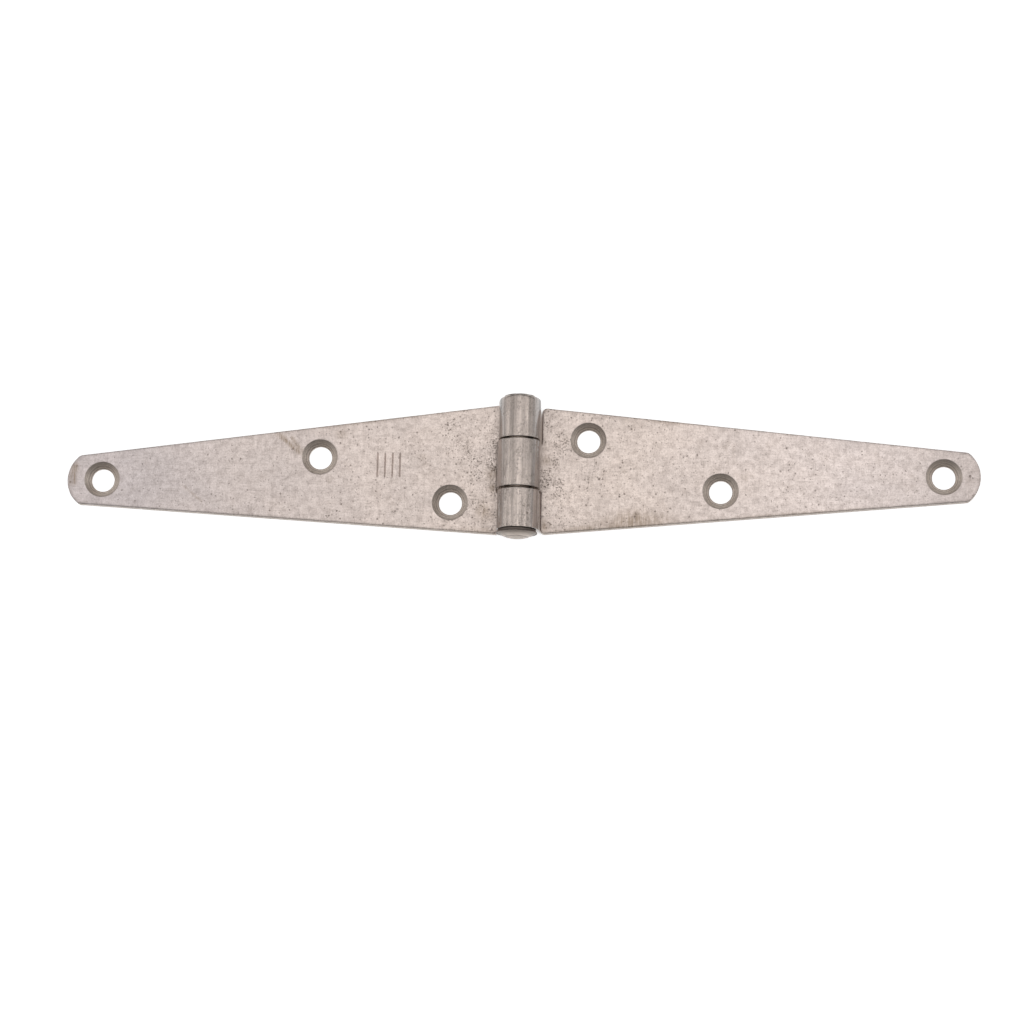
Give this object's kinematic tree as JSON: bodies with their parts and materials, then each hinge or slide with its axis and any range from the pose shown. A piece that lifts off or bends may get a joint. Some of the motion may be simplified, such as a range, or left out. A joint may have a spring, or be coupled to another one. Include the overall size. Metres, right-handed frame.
{
  "type": "strap hinge",
  "caption": "Light steel strap hinge with two long tapered leaves on a headed pin, countersunk for screws.",
  "frame": {"origin": "in the plane of both leaves' backs, straight below the middle of the pin's whole length", "axes": "+X along the one-knuckle leaf, away from the pin; +Y along the pin, from its domed head to its peened end; +Z out of the countersunk fronts, which is the side the knuckles stand out on"},
  "size_m": [0.152, 0.0242, 0.007],
  "materials": {
    "two_knuckle_leaf": "plain self-colour steel, dull, finely pitted",
    "one_knuckle_leaf": "plain self-colour steel, dull, finely pitted",
    "hinge_pin": "plain steel, turned and lightly burnished"
  },
  "bodies": {
    "fixed_leaf": {"two_knuckle_leaf": "two_knuckle_leaf", "hinge_pin": "hinge_pin"},
    "swinging_leaf": {"one_knuckle_leaf": "one_knuckle_leaf"}
  },
  "joints": [
    {"name": "pin_hinge", "type": "hinge", "parent": "fixed_leaf", "child": "swinging_leaf", "pos_m": [0, 0, 0.0035], "axis": [0, -1, 0], "range_deg": [-90, 180]}
  ]
}
